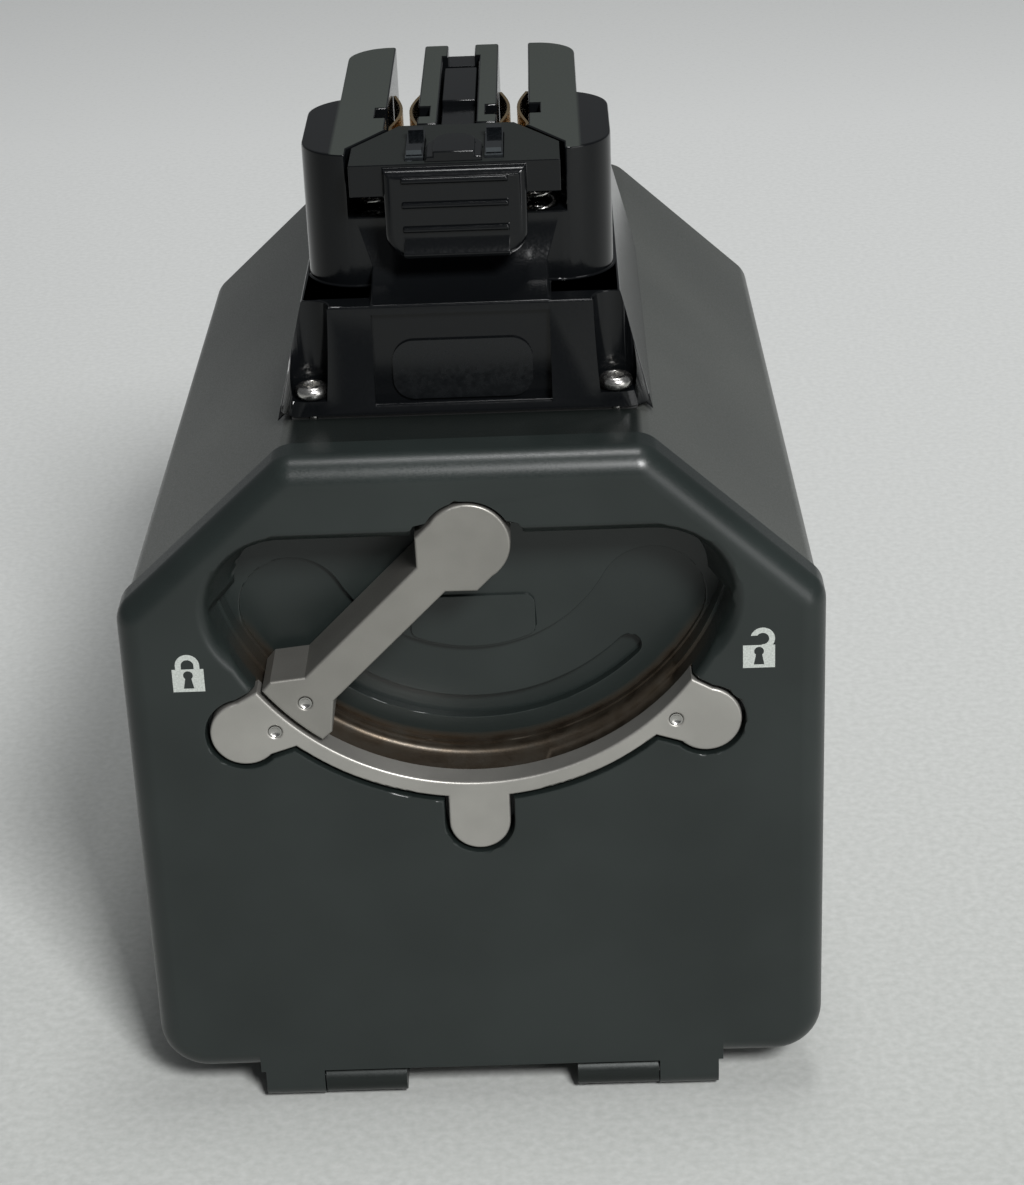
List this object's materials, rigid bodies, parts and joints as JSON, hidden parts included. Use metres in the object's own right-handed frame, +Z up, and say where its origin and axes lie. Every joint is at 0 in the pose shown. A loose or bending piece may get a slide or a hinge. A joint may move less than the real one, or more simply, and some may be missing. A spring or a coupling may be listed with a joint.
{
  "type": "surgical tool battery housing",
  "caption": "Six-sided aseptic battery case with a hinged front door, swinging latch lever and a plug-in contact head with a release button on top.",
  "frame": {"origin": "middle of the footprint, on the surface that the case rests on", "axes": "+Z up through the contact head, -Y towards the door, +X to the right seen from the door"},
  "size_m": [0.08, 0.1064, 0.1139],
  "materials": {
    "case_metal": "bead-blasted anodised, satin grey",
    "door_metal": "dark anodised, satin",
    "bright_steel": "satin stainless",
    "fittings": "plain stainless",
    "springs": "bright spring wire",
    "head_plastic": "black, polished sides and fine matt top",
    "button_plastic": "black",
    "label_dark": "dark inlay with nothing on it",
    "bay_plastic": "dark grey",
    "bearing_plastic": "natural bearing plastic",
    "seal_rubber": "black silicone",
    "contact_gold": "gold plated"
  },
  "bodies": {
    "housing": {"housing_shell": "case_metal", "striker_pin": "fittings", "hinge_pin_left": "fittings", "hinge_pin_right": "fittings", "guide_rail_left": "bay_plastic", "guide_rail_right": "bay_plastic", "rear_bumper": "seal_rubber", "head_gasket": "seal_rubber", "head_base": "head_plastic", "label_plate": "label_dark", "head_screws": "fittings", "spring_contact_left": "contact_gold", "spring_contact_right": "contact_gold", "bus_bar_left": "contact_gold", "bus_bar_right": "contact_gold", "bay_contact_block": "bay_plastic", "bay_terminals": "contact_gold", "button_spring_left": "springs", "button_spring_right": "springs"},
    "door": {"door_cover": "door_metal", "door_gasket": "seal_rubber", "guide_ring": "bright_steel", "ring_screws": "fittings", "door_pad": "seal_rubber", "shaft_bush": "bearing_plastic", "shaft_seal": "seal_rubber"},
    "latch": {"latch_lever": "bright_steel", "lever_guide_pin": "bright_steel", "latch_shaft": "fittings", "shaft_spacer": "fittings", "latch_finger": "fittings", "shaft_nut": "fittings"},
    "button": {"release_button": "button_plastic", "latch_teeth": "fittings"}
  },
  "joints": [
    {"name": "door_hinge", "type": "hinge", "parent": "housing", "child": "door", "pos_m": [0, -0.05115, 0.0025], "axis": [1, 0, 0], "range_deg": [0, 90]},
    {"name": "latch_turn", "type": "hinge", "parent": "door", "child": "latch", "pos_m": [0, -0.04325, 0.0743], "axis": [0, -1, 0], "range_deg": [0, 90]},
    {"name": "button_press", "type": "slide", "parent": "housing", "child": "button", "axis": [0, 0, -1], "range_m": [0, 0.003], "stiffness_N_per_m": 3000, "springref_m": -0.002, "deforming": ["button_spring_left", "button_spring_right"]}
  ]
}
